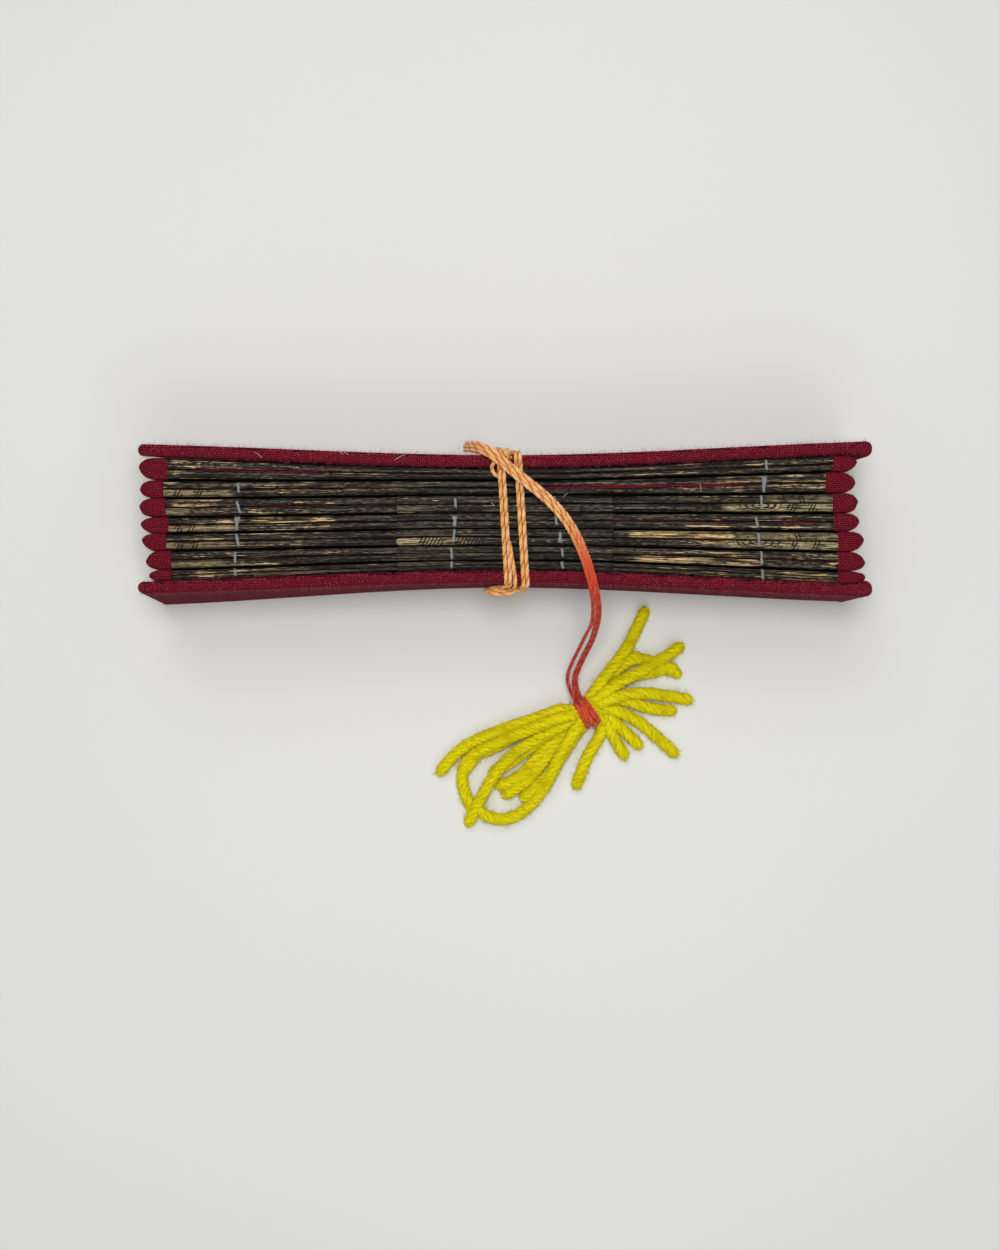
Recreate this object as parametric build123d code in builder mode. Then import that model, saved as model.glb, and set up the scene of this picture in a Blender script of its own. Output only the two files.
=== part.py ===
"""A fan-fold palm-leaf book, tied shut with a cotton cord that ends in a yarn tassel.

X runs along the leaf strips, Y through the stack of folds and Z up the strips, which
stand on edge. The origin is at the middle of the book's underside.
"""

import os
from math import cos, pi, radians, sin, tan

from build123d import *

# Book as a whole
book_length = 154.0
cover_height = 30.6
cover_step = 0.6
leaf_rise = 0.3

# Half of the stack of leaves, between the boards, at the ridges and at the base
left_half_top = 13.15
middle_half_top = 10.85
right_half_top = 13.75
left_half_base = 15.3
middle_half_base = 11.4
right_half_base = 14.6
pinch_share = 0.36

# Folded leaves
ridge_count = 7
valley_gap = 0.36
groove_depth = 0.38
web_depth = 1.3
cover_clearance = 0.3
station_shares = (-0.75, -0.5, -0.3, 0.0, 0.3, 0.5, 0.75)

# Cloth that binds the ends of the leaves, with one blunt nose to each fold
left_binding_length = 6.4
left_nose_reach = 5.7
left_nose_shares = (0.72, 0.79, 0.91, 1.02, 1.11, 1.05, 1.0)
right_binding_length = 7.7
right_nose_reach = 5.25
right_nose_shares = (1.26, 1.2, 1.12, 1.0, 0.95, 0.84, 0.84)
cloth_thickness = 0.3
cloth_swell = 0.22
cloth_gap = 0.12
pocket_clearance = 0.08
tongue_length = 2.2
nose_straight = 2.6
nose_point_share = 0.15
nose_cheek_share = 0.37
nose_drop = 1.3

# Cloth-covered boards
board_thickness = 2.5
board_edge_radius = 0.7
board_tip_reach = 1.5
rolled_end_radius = 1.7
rolled_end_inset = 0.4
board_station_shares = (-1.0, -0.75, -0.5, -0.25, 0.0, 0.25, 0.5, 0.75, 1.0)

# Small fan of shorter leaves over the middle of the ridges
inset_half_length = 22.9
inset_ridge_count = 5
inset_thickness = 0.36
inset_clearance = 0.1
inset_dip = 0.42
inset_hem_drop = 0.24

# Cotton cord wound twice round the middle, two strands side by side
strand_diameter = 0.9
strand_clearance = 0.1
strand_spacing = 1.02
first_pass_x = 2.2
second_pass_x = -1.4
pass_lean = 1.7
first_run_x = 0.8
last_run_x = -3.6
knot_x = -0.9
wrap_head_radius = 1.3
wrap_foot_radius = 0.7
knot_length = 6.4
knot_thickness = 2.6
knot_height = 17.5
cord_dent_slope = 1.6

# Free tail of the cord: a loose bundle of strands, from the knot to the tassel
tail_diameter = 2.2
tail_bend_share = 0.45
tail_route = [
    (-4.4, 15.4, 17.6),
    (-9.0, 16.3, 21.4),
    (-10.6, 16.9, 27.8),
    (-7.6, 16.8, 33.6),
    (-2.0, 13.8, 36.0),
    (3.8, 8.4, 35.6),
    (10.0, 3.2, 35.0),
    (15.0, -3.4, 34.8),
    (17.8, -10.8, 35.0),
    (19.0, -18.0, 31.8),
    (19.1, -22.0, 24.4),
    (18.2, -25.2, 15.8),
    (16.6, -29.2, 8.6),
    (15.0, -33.8, 4.8),
    (16.2, -38.6, 4.7),
]

# Yarn tassel, lying on the table
yarn_diameter = 2.8
waist_x = 18.2
waist_y = -41.8
waist_turn = 34.0
waist_width = 5.2
waist_height = 4.6
waist_length = 6.4
band_width = 2.5
band_thickness = 0.7
band_clearance = 0.08
yarn_routes = [
    [(20.4, -40.3, 2.6), (25.5, -34.5, 2.6), (29.0, -27.5, 2.0), (32.0, -18.4, 1.45)],
    [(20.4, -40.3, 2.6), (26.4, -35.8, 3.6), (33.2, -31.6, 2.4), (40.0, -26.6, 1.45)],
    [(20.4, -40.3, 2.0), (26.0, -33.2, 1.6), (31.0, -30.0, 1.45), (39.0, -33.2, 1.45)],
    [(20.4, -40.3, 2.4), (27.0, -37.8, 3.2), (33.4, -37.6, 1.8), (41.6, -38.8, 1.45)],
    [(20.4, -40.3, 2.0), (26.8, -40.2, 1.6), (37.6, -41.6, 1.45)],
    [(20.4, -40.3, 2.4), (25.6, -41.4, 2.4), (31.0, -44.8, 1.6), (38.2, -50.8, 1.45)],
    [(20.4, -40.3, 2.0), (25.0, -43.2, 1.6), (30.4, -49.2, 1.45)],
    [(20.4, -40.3, 2.0), (24.4, -44.4, 1.5), (27.0, -51.6, 1.45)],
    [(20.4, -40.3, 2.0), (24.0, -43.6, 1.5), (21.4, -49.0, 1.45), (15.8, -58.6, 1.45)],
    [(16.0, -43.3, 2.4), (3.6, -44.6, 2.6), (-9.0, -48.6, 1.6), (-14.6, -54.8, 1.45)],
    [(16.0, -43.3, 3.0), (4.6, -49.0, 4.2), (-4.6, -56.8, 3.0), (-7.2, -66.0, 1.45)],
    [(16.0, -43.3, 2.4), (-1.2, -47.6, 2.4), (-7.6, -53.0, 1.5), (-7.8, -60.0, 1.45)],
    [(16.0, -43.3, 2.2), (12.6, -52.0, 2.0), (7.0, -60.2, 1.5), (0.4, -64.6, 1.45),
     (-5.2, -63.4, 1.45), (-5.6, -58.0, 1.45)],
    [(16.0, -43.3, 2.0), (9.0, -51.0, 1.6), (2.4, -60.6, 1.45)],
    [(16.0, -43.3, 2.0), (6.6, -46.4, 1.5), (-2.0, -52.0, 1.45), (-4.6, -55.6, 1.45)],
]

half_length = book_length / 2
left_binding_start = half_length - left_binding_length
right_binding_start = half_length - right_binding_length
under_height = strand_clearance + strand_diameter / 2
outer_height = cover_height + under_height
dent_depth = under_height + strand_diameter / 2 + strand_clearance
leaf_base = dent_depth + leaf_rise
leaf_top = cover_height - cover_step
ridge_shares = [(2 * k + 1 - ridge_count) / ridge_count for k in range(ridge_count)]
valley_shares = [(2 * k + 2 - ridge_count) / ridge_count for k in range(ridge_count - 1)]
os.makedirs("parts", exist_ok=True)


def pinched(left, middle, right, x):
    """A half width that swells from the tied middle to its value at each end."""
    along = abs(x) / half_length
    end = left if x < 0 else right
    swell = along * along * (3 - 2 * along)
    return middle + (end - middle) * ((1 - pinch_share) * swell + pinch_share * along**2)


def half_top(x):
    """Half of the stack's width at the ridges."""
    return pinched(left_half_top, middle_half_top, right_half_top, x)


def half_base(x):
    """Half of the stack's width where the book stands."""
    return pinched(left_half_base, middle_half_base, right_half_base, x)


def crown(centre, thickness, tip, up, swell=0):
    """Two rounded strip edges with the sewn groove between them, or cloth over both."""
    round_over = thickness / 2
    shoulder = tip - up * round_over
    if swell:
        ends = [(centre + side * thickness, shoulder) for side in (-1, 1)]
        ThreePointArc(ends[0], (centre, tip + up * swell), ends[1])
        return
    groove = (centre, tip - up * groove_depth)
    for side in (-1, 1):
        peak = (centre + side * round_over, tip)
        TangentArc((centre + side * thickness, shoulder), peak, tangent=(0, up))
        Line(peak, groove)


def fan_section(x, thickness, low, high, web, inset=0, swell=0):
    """The zigzag of folded strips, cut across at x."""
    ridges = [half_top(x) * share for share in ridge_shares]
    valleys = [half_base(x) * share for share in valley_shares]
    shoulder = high - thickness / 2
    foot = low + thickness / 2
    outer_foot = half_base(x) - cover_clearance - inset
    with BuildSketch(Plane.YZ.offset(x)) as section:
        with BuildLine():
            for ridge in ridges:
                crown(ridge, thickness, high, 1, swell)
            for valley in valleys:
                crown(valley, thickness, low, -1)
            for left, valley, right in zip(ridges, valleys, ridges[1:]):
                Line((left + thickness, shoulder), (valley, low + web))
                Line((valley, low + web), (right - thickness, shoulder))
            inner_feet = [thickness - outer_foot] + [v + thickness for v in valleys]
            for ridge, before in zip(ridges, inner_feet):
                Line((before, foot), (ridge, high - web))
            after_feet = [v - thickness for v in valleys] + [outer_foot - thickness]
            for ridge, after in zip(ridges, after_feet):
                Line((ridge, high - web), (after, foot))
            for side in (-1, 1):
                edge = side * outer_foot
                middle = edge - side * thickness / 2
                Line((side * (abs(ridges[0]) + thickness), shoulder), (edge, foot))
                TangentArc((edge, foot), (middle, low), tangent=(0, -1))
                TangentArc((edge - side * thickness, foot), (middle, low), tangent=(0, -1))
        make_face()
    return section.sketch


def leaf_thickness(x):
    """One strip with its lining; the strips swell where the cord doesn't pinch them."""
    return half_top(x) / ridge_count - valley_gap / 2


def cloth_panel(x):
    """One strip's end with the cloth round it."""
    return half_top(x) / ridge_count - cloth_gap / 2


def save(piece, label):
    """Writes one piece to its own file."""
    piece.part.label = label
    export_step(piece.part, f"parts/{label}.step")


def tongue_section(x, clearance):
    """The leaf ends inside the cloth: the cloth's section less its own thickness."""
    wall = cloth_thickness - clearance
    return fan_section(
        x,
        cloth_panel(x) - 2 * wall,
        leaf_base + wall,
        leaf_top + cloth_thickness - wall,
        web_depth - 2 * wall,
        wall,
    )


def make_leaves():
    """Fourteen palm-leaf strips, joined edge to edge as one folded sheet."""
    left, right = -left_binding_start, right_binding_start
    stations = [left, *(half_length * share for share in station_shares), right]
    sections = [
        fan_section(x, leaf_thickness(x), leaf_base, leaf_top, web_depth) for x in stations
    ]
    with BuildPart() as leaves:
        loft(sections)
        extrude(tongue_section(left, 0), amount=-tongue_length)
        extrude(tongue_section(right, 0), amount=tongue_length)
    return leaves


def nose_sketch(level, centre, pitch, start, reach):
    """The blunt-pointed nose of one bound fold, seen from above."""
    shoulder = nose_straight
    cheek = (shoulder + reach) / 2
    lower, upper = centre - pitch / 2, centre + pitch / 2
    point = pitch * nose_point_share
    bend = pitch * nose_cheek_share
    side = 1 if start > 0 else -1
    with BuildSketch(Plane.XY.offset(level)) as sketch:
        with BuildLine():
            Polyline(
                (start + side * shoulder, lower),
                (start, lower),
                (start, upper),
                (start + side * shoulder, upper),
            )
            for edge, turn in ((lower, -1), (upper, 1)):
                ThreePointArc(
                    (start + side * shoulder, edge),
                    (start + side * cheek, centre + turn * bend),
                    (start + side * reach, centre + turn * point),
                )
            Line(
                (start + side * reach, centre - point),
                (start + side * reach, centre + point),
            )
        make_face()
    return sketch.sketch


def make_binding(start, reach, shares):
    """One folded cloth tape, stitched over the ends of all the strips."""
    side = 1 if start > 0 else -1
    longest = reach * max(shares)
    top = leaf_top + cloth_thickness
    peak = top + cloth_swell
    pitch_top = 2 * half_top(start) / ridge_count
    pitch_base = 2 * half_base(start) / ridge_count
    with BuildPart() as comb:
        for ridge_share, nose_share in zip(ridge_shares, shares):
            length = reach * nose_share
            base_centre = half_base(start) * ridge_share
            top_centre = half_top(start) * ridge_share
            foot = nose_sketch(0, base_centre, pitch_base, start, length)
            brow = nose_sketch(peak - nose_drop, top_centre, pitch_top, start, length)
            crest = nose_sketch(peak, top_centre, pitch_top, start, length - nose_drop / 2)
            loft([foot, brow, crest], ruled=True)
    with BuildPart() as binding:
        panel = cloth_panel(start)
        tape = fan_section(start, panel, leaf_base, top, web_depth, swell=cloth_swell)
        extrude(tape, amount=side * longest)
        add(comb.part, mode=Mode.INTERSECT)
        pocket = tongue_section(start, pocket_clearance)
        pocket_depth = tongue_length + pocket_clearance
        extrude(pocket, amount=side * pocket_depth, mode=Mode.SUBTRACT)
    return binding


def board_outline(level, side, left, middle, right):
    """A board seen from above: two long curves closed by rounded tips."""
    flat_end = half_length - board_tip_reach
    stations = [flat_end * share for share in board_station_shares]
    inner = [(x, side * pinched(left, middle, right, x)) for x in stations]
    outer = [(x, y + side * board_thickness) for x, y in inner]
    with BuildSketch(Plane.XY.offset(level)) as outline:
        with BuildLine():
            Spline(inner)
            Spline(outer)
            for end, place in ((-1, 0), (1, -1)):
                tip = (end * half_length, inner[place][1] + side * board_thickness / 2)
                ThreePointArc(inner[place], tip, outer[place])
        make_face()
    return outline.sketch


def rolled_end_circle(level, side, half):
    """The roll of cloth at a board's right end, cut level."""
    centre = side * (half + board_thickness / 2 - rolled_end_inset)
    with BuildSketch(Plane.XY.offset(level)) as circle:
        with Locations((half_length - rolled_end_radius, centre)):
            Circle(rolled_end_radius)
    return circle.sketch


def make_board(side):
    """A stiff board wrapped in cloth, bent in at the middle, its cloth rolled at one end."""
    cord_start = last_run_x - strand_diameter / 2 - strand_clearance
    cord_end = first_pass_x + pass_lean + strand_spacing + strand_diameter / 2
    cord_end += strand_clearance
    foot = board_outline(0, side, left_half_base, middle_half_base, right_half_base)
    head = board_outline(cover_height, side, left_half_top, middle_half_top, right_half_top)
    roll_foot = rolled_end_circle(0, side, right_half_base)
    roll_head = rolled_end_circle(cover_height, side, right_half_top)
    with BuildPart() as roll:
        loft([roll_foot, roll_head], ruled=True)
        fillet(roll.edges().filter_by(GeomType.CIRCLE), board_edge_radius)
    with BuildPart() as board:
        loft([foot, head], ruled=True)
        rims = board.edges().group_by(Axis.Z)
        fillet(rims[0] + rims[-1], board_edge_radius)
        add(roll.part)
        with BuildSketch(Plane.XZ):
            with BuildLine():
                Polyline(
                    (cord_start - cord_dent_slope, 0),
                    (cord_start, dent_depth),
                    (cord_end, dent_depth),
                    (cord_end + cord_dent_slope, 0),
                    close=True,
                )
            make_face()
        extrude(amount=2 * left_half_base, both=True, mode=Mode.SUBTRACT)
    return board


def inset_section(x):
    """The thin ribbon that lies over the crowns of the covered ridges, cut at x."""
    thickness = leaf_thickness(x)
    round_over = thickness / 2
    centres = [half_top(x) * share for share in ridge_shares[:inset_ridge_count]]
    pitch = centres[1] - centres[0]
    under = leaf_top + inset_clearance
    with BuildSketch(Plane.YZ.offset(x)) as section:
        with BuildLine():
            for skin in (0, inset_thickness):
                for centre in centres:
                    dip = (centre, under + skin - groove_depth / 2)
                    for side in (-1, 1):
                        hem = centre == centres[max(0, side * (inset_ridge_count - 1))]
                        reach = thickness if hem else pitch / 2
                        drop = inset_hem_drop if hem else inset_dip
                        peak = (centre + side * round_over, under + skin)
                        low = (centre + side * reach, leaf_top - drop + skin)
                        Line(dip, peak)
                        TangentArc(peak, low, tangent=(side, 0))
            for edge in (centres[0] - thickness, centres[-1] + thickness):
                hem_foot = leaf_top - inset_hem_drop
                Line((edge, hem_foot), (edge, hem_foot + inset_thickness))
        make_face()
    return section.sketch


def make_inset():
    """The small fan of shorter strips that is sewn over five of the ridges."""
    stations = (-inset_half_length, 0, inset_half_length)
    sections = [inset_section(x) for x in stations]
    with BuildPart() as inset:
        loft(sections)
    return inset


def wrap_route(offset):
    """One strand, from the knot twice round the book and back to the knot."""
    head_y = half_top(0) + board_thickness + under_height
    foot_y = half_base(0) + board_thickness + under_height
    face_y = (head_y + foot_y) / 2
    first, second = first_pass_x + offset, second_pass_x + offset
    last = last_run_x + offset
    return [
        (first_run_x + offset, face_y, knot_height),
        (first, head_y, outer_height),
        (first + pass_lean, -head_y, outer_height),
        (first + pass_lean, -foot_y, under_height),
        (second, foot_y, under_height),
        (second, head_y, outer_height),
        (second + pass_lean, -head_y, outer_height),
        (second + pass_lean, -foot_y, under_height),
        (last, foot_y, under_height),
        (last, face_y, knot_height),
    ]


def make_wraps():
    """The cord's two windings and the knot that closes them on the far board."""
    head, foot = wrap_head_radius, wrap_foot_radius
    corners = [head, head, foot, foot, head, head, foot, foot]
    face_y = (half_top(0) + half_base(0)) / 2 + board_thickness
    knot_plane = Plane((knot_x, face_y + strand_clearance + knot_thickness / 2, knot_height))
    with BuildPart() as wraps:
        with BuildSketch(knot_plane):
            Ellipse(knot_length / 2, knot_thickness / 2)
            split(bisect_by=Plane.XZ)
        revolve(axis=Axis(knot_plane.origin, (1, 0, 0)))
        for offset in (0, strand_spacing):
            with BuildLine() as path:
                FilletPolyline(*wrap_route(offset), radius=corners)
            with BuildSketch(Plane(path.line @ 0, z_dir=path.line % 0)):
                Circle(strand_diameter / 2)
            sweep(path=path.line)
    return wraps


def bend_radii(route, share):
    """One radius for each corner of a route, as large as its shorter run allows."""
    points = [Vector(*point) for point in route]
    radii = []
    for before, corner, after in zip(points, points[1:], points[2:]):
        turn = radians((corner - before).get_angle(after - corner))
        shorter = min((corner - before).length, (after - corner).length)
        radii.append(share * shorter / tan(turn / 2))
    return radii


def make_tail():
    """The free cord, as one plain tube as wide as its bundle of strands."""
    radii = bend_radii(tail_route, tail_bend_share)
    print("tail radii", [round(radius, 1) for radius in radii])
    with BuildPart() as tail:
        with BuildLine() as path:
            FilletPolyline(*tail_route, radius=radii)
        with BuildSketch(Plane(path.line @ 0, z_dir=path.line % 0)):
            Circle(tail_diameter / 2)
        sweep()
    length = sum(edge.length for edge in path.edges())
    section = pi * (tail_diameter / 2) ** 2
    print("tail length", length, "volume", tail.part.volume, "against", section * length)
    return tail


def waist_plane(along):
    """A plane across the tassel, a given way along it from the middle of its waist."""
    turn = radians(waist_turn)
    lift = waist_height / 2 + band_thickness + band_clearance
    middle = (waist_x + along * cos(turn), waist_y + along * sin(turn), lift)
    return Plane(middle, x_dir=(-sin(turn), cos(turn), 0), z_dir=(cos(turn), sin(turn), 0))


def make_tassel():
    """Yarn ends and loops gathered at a narrow waist."""
    with BuildPart() as tassel:
        with BuildSketch(waist_plane(0)):
            Ellipse(waist_width / 2, waist_height / 2)
        extrude(amount=waist_length / 2, both=True)
        for route in yarn_routes:
            with BuildLine() as path:
                FilletPolyline(*route, radius=bend_radii(route, tail_bend_share))
            with BuildSketch(Plane(path.line @ 0, z_dir=path.line % 0)):
                Circle(yarn_diameter / 2)
            sweep(path=path.line)
    return tassel


def make_band():
    """The cord's end, wound round the tassel's waist."""
    wide = waist_width / 2 + band_clearance
    tall = waist_height / 2 + band_clearance
    with BuildPart() as band:
        with BuildSketch(waist_plane(0)):
            Ellipse(wide + band_thickness, tall + band_thickness)
            Ellipse(wide, tall, mode=Mode.SUBTRACT)
        extrude(amount=band_width / 2, both=True)
    return band


pieces = {
    "back_board": make_board(-1),
    "front_board": make_board(1),
    "inset_strips": make_inset(),
    "tie_wraps": make_wraps(),
    "tie_tail": make_tail(),
    "tassel_band": make_band(),
    "tassel_yarns": make_tassel(),
    "left_cloth_binding": make_binding(
        -left_binding_start, left_nose_reach, left_nose_shares
    ),
    "right_cloth_binding": make_binding(
        right_binding_start, right_nose_reach, right_nose_shares
    ),
    "leaf_strips": make_leaves(),
}
for label, piece in pieces.items():
    save(piece, label)
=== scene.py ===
from math import atan2, cos, pi, sin, tau

import bmesh
import bpy
import numpy as np
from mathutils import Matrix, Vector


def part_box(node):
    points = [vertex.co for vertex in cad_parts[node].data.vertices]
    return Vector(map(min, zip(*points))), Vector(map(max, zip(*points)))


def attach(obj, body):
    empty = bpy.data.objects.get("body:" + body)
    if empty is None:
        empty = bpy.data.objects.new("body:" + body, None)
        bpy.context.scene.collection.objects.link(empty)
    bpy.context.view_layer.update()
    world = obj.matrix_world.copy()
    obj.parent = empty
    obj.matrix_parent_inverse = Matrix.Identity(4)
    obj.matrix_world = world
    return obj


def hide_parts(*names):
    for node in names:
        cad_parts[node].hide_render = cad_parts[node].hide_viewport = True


# A fan-fold palm-leaf book, tied shut with a cotton cord that ends in a yarn tassel.
# Lengths are in millimetres until a mesh is made. X runs along the leaf strips, Y through
# the stack of folds and Z up the strips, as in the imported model.
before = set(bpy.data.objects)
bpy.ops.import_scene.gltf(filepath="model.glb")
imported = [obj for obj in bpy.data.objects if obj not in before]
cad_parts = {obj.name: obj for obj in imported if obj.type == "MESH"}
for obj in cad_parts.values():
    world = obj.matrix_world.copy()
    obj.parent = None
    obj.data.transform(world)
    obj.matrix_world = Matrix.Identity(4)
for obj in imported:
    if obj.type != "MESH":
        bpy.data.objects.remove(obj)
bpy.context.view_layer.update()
mm = 0.001

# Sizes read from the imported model
board_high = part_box("front_board")[1] / mm
leaf_low, leaf_high = (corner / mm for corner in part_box("leaf_strips"))
half_length = board_high.x
cover_height = board_high.z
leaf_base = leaf_low.z
leaf_top = leaf_high.z

# The stack of folds, as in the part's source
left_half_top, middle_half_top, right_half_top = 13.15, 10.85, 13.75
left_half_base, middle_half_base, right_half_base = 15.3, 11.4, 14.6
pinch_share = 0.36
ridge_count = 7
valley_gap = 0.36
cover_clearance = 0.3
board_thickness = 2.5
# Edges of the folds from the far board, as shares of the half width
left_folds = [0.985, 0.623, 0.335, 0.032, -0.23, -0.508, -0.816, -1.0]
middle_folds = [0.985, 0.755, 0.455, 0.118, -0.186, -0.507, -0.795, -0.985]
right_folds = [0.985, 0.733, 0.403, 0.093, -0.193, -0.507, -0.809, -1.0]

# Where the cloth begins at the strips' ends
left_edge_x, right_edge_x = 70.6, 69.3

# Camera, straight above the book
camera_x, camera_y, camera_height = -1.05, -22.26, 456.0
camera_lens, camera_sensor = 58.5, 36.0

# Cotton cord
strand_diameter = 0.9
strand_spacing = 0.9
strand_clearance = 0.1
ply_pitch = 3.0
wound_ply_radius = strand_diameter / 4
wrap_radius = 1.3
foot_radius = 0.7
first_pass_x, second_pass_x, pass_lean = 2.2, -1.4, 1.7
first_run_x, last_run_x = 0.8, -3.6
pull_x = -4.0
knot_x, knot_height, knot_length, knot_thickness = -0.9, 17.5, 6.4, 2.6
tail_spacing = 0.75
# Shares of the tail's way: where its strands lie level, and between which they part and close again
level_share = 0.42
parting_shares, closing_shares = (0.7, 0.8), (0.985, 0.93)
tail_route = [
    (-4.4, 15.4, 17.6), (-8.0, 16.5, 17.4), (-8.5, 15.7, 22.8), (-7.4, 15.4, 28.6),
    (-5.2, 14.9, 33.2), (-1.5, 12.6, 33.9), (2.5, 9.1, 33.3), (8.8, 4.3, 32.6),
    (13.6, -1.0, 32.4), (16.9, -8.4, 32.9), (18.9, -15.8, 32.2), (19.5, -20.8, 25.6),
    (18.3, -25.4, 15.0), (16.4, -29.6, 7.8), (14.2, -35.2, 4.6), (16.6, -39.4, 5.8),
]

# Yarn tassel
yarn_diameter = 2.8
yarn_plies = 4
yarn_pitch = 5.0
yarn_lying_height = 1.45
waist_x, waist_y, waist_turn = 18.2, -41.8, 34.0
waist_width, waist_height = 5.2, 4.6
band_thickness, band_clearance = 0.7, 0.08


def half_width(left, middle, right, x):
    """A half width that swells from the tied middle to its value at each end."""
    along = np.abs(x) / half_length
    end = np.where(x < 0, left, right)
    swell = along * along * (3 - 2 * along)
    return middle + (end - middle) * ((1 - pinch_share) * swell + pinch_share * along**2)


def half_top(x):
    return half_width(left_half_top, middle_half_top, right_half_top, x)


def half_base(x):
    return half_width(left_half_base, middle_half_base, right_half_base, x)


def fold_edge(number, x):
    """Where one fold ends and the next starts, as a share of the half width."""
    along = np.abs(x) / half_length
    end = np.where(x < 0, left_folds[number], right_folds[number])
    return middle_folds[number] + (end - middle_folds[number]) * smooth_step(0, 1, along)


def fold_middle(number, x):
    return (fold_edge(number - 1, x) + fold_edge(number, x)) / 2


def fold_half(number, x):
    return (fold_edge(number - 1, x) - fold_edge(number, x)) / 2


def wander(seed, reach, *wavelengths):
    """A smooth uneven line of x, from sines with phases of their own."""
    phases = np.random.default_rng(seed).uniform(0, tau, len(wavelengths))

    def line(x):
        waves = [np.sin(tau * x / length + phase) for length, phase in zip(wavelengths, phases)]
        return reach * sum(waves) / len(wavelengths)

    return line


def smooth_step(low, high, value):
    share = np.clip((value - low) / (high - low), 0, 1)
    return share * share * (3 - 2 * share)


class Shape:
    """Points, faces and values at the points, gathered for one mesh."""

    def __init__(self):
        self.points = []
        self.faces = []
        self.values = {}
        self.count = 0

    def add_rings(self, rings, **values):
        """Closed rings of points, one after the other, capped at both ends."""
        rings = np.asarray(rings, float)
        number, around = rings.shape[:2]
        start = self.count
        for ring in range(number - 1):
            for step in range(around):
                a = start + ring * around + step
                b = start + ring * around + (step + 1) % around
                self.faces.append((a, b, b + around, a + around))
        self.faces.append([start + step for step in range(around)][::-1])
        self.faces.append([start + (number - 1) * around + step for step in range(around)])
        self.points.append(rings.reshape(-1, 3))
        for name, value in values.items():
            self.values.setdefault(name, []).append(np.asarray(value, float).reshape(-1, 3))
        self.count += number * around

    def make(self, name, finish):
        """The gathered points as one smooth object, in metres, with its faces turned outwards."""
        mesh = bpy.data.meshes.new(name)
        mesh.from_pydata((np.concatenate(self.points) * mm).tolist(), [], self.faces)
        for label, parts in self.values.items():
            attribute = mesh.attributes.new(label, "FLOAT_VECTOR", "POINT")
            attribute.data.foreach_set("vector", np.concatenate(parts).astype(np.float32).ravel())
        shell = bmesh.new()
        shell.from_mesh(mesh)
        bmesh.ops.recalc_face_normals(shell, faces=shell.faces)
        shell.to_mesh(mesh)
        shell.free()
        mesh.polygons.foreach_set("use_smooth", [True] * len(mesh.polygons))
        mesh.materials.append(finish)
        piece = bpy.data.objects.new(name, mesh)
        bpy.context.scene.collection.objects.link(piece)
        return piece


# Trees of nodes


class Value:
    """One output of a node. It goes into other nodes and into sums, and blends two colours."""

    def __init__(self, node, out):
        self.node = node
        self.out = out

    def other(self, out):
        """Another output of the same node."""
        return Value(self.node, out)

    def into(self, kind, inputs=None, out=0, **settings):
        """A new node of the same tree with this value in its first input."""
        return put(self.node.id_data, kind, {0: self, **(inputs or {})}, out, **settings)

    def work(self, operation, *values):
        """The result of one sum."""
        return self.into("ShaderNodeMath", dict(enumerate(values, 1)), operation=operation)

    def __add__(self, other):
        return self.work("ADD", other)

    def __sub__(self, other):
        return self.work("SUBTRACT", other)

    def __rsub__(self, other):
        return put(self.node.id_data, "ShaderNodeMath", {0: other, 1: self}, operation="SUBTRACT")

    def __mul__(self, other):
        return self.work("MULTIPLY", other)

    def __truediv__(self, other):
        return self.work("DIVIDE", other)

    def turned(self, operation, *values, out=0):
        """The result of one sum with vectors."""
        return self.into("ShaderNodeVectorMath", dict(enumerate(values, 1)), out, operation=operation)

    def scaled(self, size):
        """This vector at another length."""
        return self.into("ShaderNodeVectorMath", {"Scale": size}, operation="SCALE")

    def between(self, low, high, new_low=0.0, new_high=1.0):
        """This value's place between two others, softened at both ends."""
        inputs = {1: low, 2: high, 3: new_low, 4: new_high}
        return self.into("ShaderNodeMapRange", inputs, interpolation_type="SMOOTHSTEP")

    def blended(self, first, second):
        """Two colours blended by this share; each is three screen values or another node's output."""
        inputs = {6: first, 7: second}
        for key, tone in inputs.items():
            inputs[key] = colour(*tone) if isinstance(tone, tuple) else tone
        return self.into("ShaderNodeMix", inputs, 2, data_type="RGBA")

    def speckle(self, scale=1.0, detail=3.0, roughness=0.55):
        """Noise at this place."""
        inputs = {"Scale": scale, "Detail": detail, "Roughness": roughness}
        return self.into("ShaderNodeTexNoise", inputs)


def feed(node, key, value):
    """Gives a node's input a plain value or another node's output."""
    if isinstance(value, Value):
        node.id_data.links.new(value.node.outputs[value.out], node.inputs[key])
    else:
        node.inputs[key].default_value = value


def put(tree, kind, inputs=None, out=0, **settings):
    """A new node with its settings and inputs, as one of its outputs."""
    node = tree.nodes.new(kind)
    for key, setting in settings.items():
        setattr(node, key, setting)
    for key, value in (inputs or {}).items():
        feed(node, key, value)
    return Value(node, out)


def split(vector):
    """The three parts of a vector."""
    parts = vector.into("ShaderNodeSeparateXYZ")
    return parts, parts.other(1), parts.other(2)


def joined(*parts):
    """A vector of three parts."""
    return parts[0].into("ShaderNodeCombineXYZ", dict(enumerate(parts[1:], 1)))


def kept(tree, *names, out="Fac"):
    """Values that a mesh keeps at its points."""
    return [put(tree, "ShaderNodeAttribute", out=out, attribute_type="GEOMETRY", attribute_name=name)
            for name in names]


def object_place(tree):
    return put(tree, "ShaderNodeTexCoord", out="Object")


def camera_ray(tree):
    return put(tree, "ShaderNodeLightPath", out="Is Camera Ray")


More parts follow.
